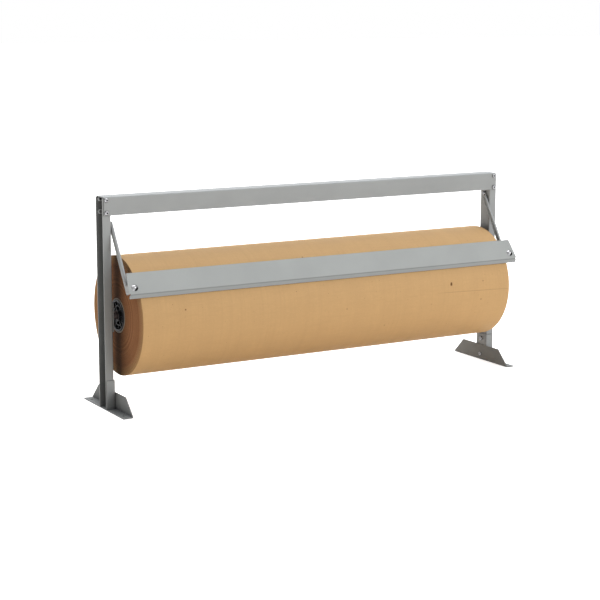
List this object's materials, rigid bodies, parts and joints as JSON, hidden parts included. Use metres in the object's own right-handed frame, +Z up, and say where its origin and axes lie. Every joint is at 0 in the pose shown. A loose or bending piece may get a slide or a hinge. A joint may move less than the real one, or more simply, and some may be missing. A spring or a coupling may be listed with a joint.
{
  "type": "bench-top paper roll cutter stand",
  "caption": "Bench-top steel stand that holds a wide roll of gift wrap on a lift-out shaft, with a cutter bar that hangs on two arms and rests on the paper.",
  "frame": {"origin": "on the bench plane, midway between the four fixing holes of the two feet, below the roll's axis", "axes": "+X along the roll to the right as the user faces the stand, -Y towards the user (the cutter's side), +Z up"},
  "size_m": [1.08, 0.274, 0.485],
  "materials": {
    "grey_paint": "satin",
    "bar_paint": "satin",
    "foot_paint": "satin",
    "zinc_steel": "satin",
    "bright_steel": "gloss",
    "black_plastic": "matte",
    "core_board": "matte",
    "kraft_paper": "matte"
  },
  "bodies": {
    "frame": {"top_rail": "grey_paint", "upright_left": "grey_paint", "upright_right": "grey_paint", "foot_socket_left": "grey_paint", "foot_socket_right": "grey_paint", "foot_plate_left": "foot_paint", "foot_plate_right": "foot_paint", "shaft_holder_left": "grey_paint", "shaft_holder_right": "grey_paint", "rail_screws": "bright_steel", "rail_nuts": "zinc_steel", "holder_screws": "bright_steel", "holder_nuts": "zinc_steel", "foot_bolts": "bright_steel", "socket_bolts": "bright_steel", "foot_nuts": "zinc_steel", "pivot_screws": "bright_steel", "pivot_washers": "zinc_steel", "pivot_nuts": "zinc_steel"},
    "shaft": {"core_shaft": "zinc_steel", "shaft_clips": "zinc_steel"},
    "roll": {"core_plug_left": "black_plastic", "core_plug_right": "black_plastic", "cardboard_core": "core_board", "paper_roll": "kraft_paper"},
    "cutter": {"cutter_arm_left": "grey_paint", "cutter_arm_right": "grey_paint", "cutter_bar": "bar_paint", "bar_bolts": "bright_steel", "bar_nuts": "zinc_steel"}
  },
  "joints": [
    {"name": "cutter_swing", "type": "hinge", "parent": "frame", "child": "cutter", "pos_m": [0, 0, 0.432], "axis": [-1, 0, 0], "range_deg": [0, 70]},
    {"name": "shaft_lift", "type": "slide", "parent": "frame", "child": "shaft", "axis": [0, 0.7071, 0.7071], "range_m": [0, 0.12]},
    {"name": "roll_turn", "type": "hinge", "parent": "shaft", "child": "roll", "pos_m": [0, 0, 0.212], "axis": [1, 0, 0], "continuous": true}
  ]
}
